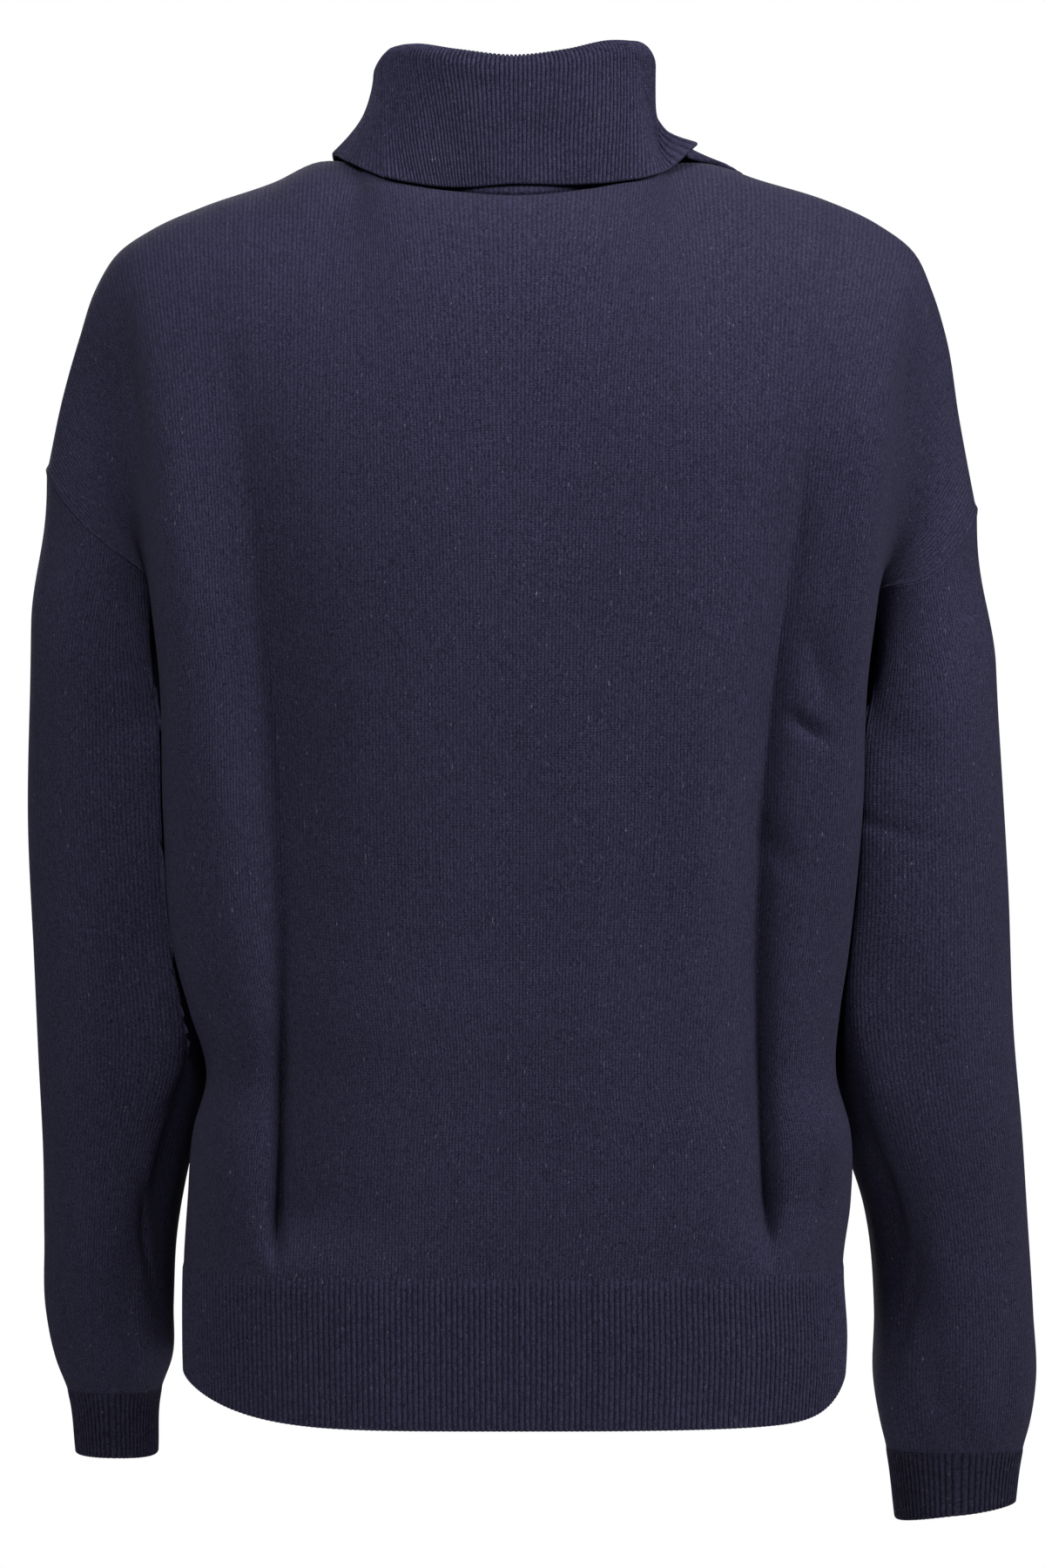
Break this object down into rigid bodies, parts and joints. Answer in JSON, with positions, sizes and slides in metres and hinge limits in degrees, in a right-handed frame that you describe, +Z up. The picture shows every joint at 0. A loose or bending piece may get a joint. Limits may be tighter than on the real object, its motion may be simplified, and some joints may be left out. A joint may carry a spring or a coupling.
{
  "type": "roll neck sweater",
  "caption": "Knitted pullover with a turned-down rib collar, dropped shoulders and ribbed hem and cuffs, filled out as when worn, hollow and open at neck, hem and wrists.",
  "frame": {"origin": "on the middle line of the body between the two shoulder seams' neck ends, where the sweater rests on the wearer's shoulders", "axes": "+Z up, the front of the garment faces -Y and its back +Y, the wearer's left is +X"},
  "size_m": [0.5132, 0.229, 0.7497],
  "materials": {
    "knit_navy": "soft fine wool knit",
    "rib_navy": "ribbed wool knit"
  },
  "bodies": {
    "root": {"back": "knit_navy", "front": "knit_navy", "sleeve_left": "knit_navy", "sleeve_right": "knit_navy", "hem_rib_back": "rib_navy", "hem_rib_front": "rib_navy", "cuff_left": "rib_navy", "cuff_right": "rib_navy", "collar": "rib_navy"}
  },
  "joints": []
}
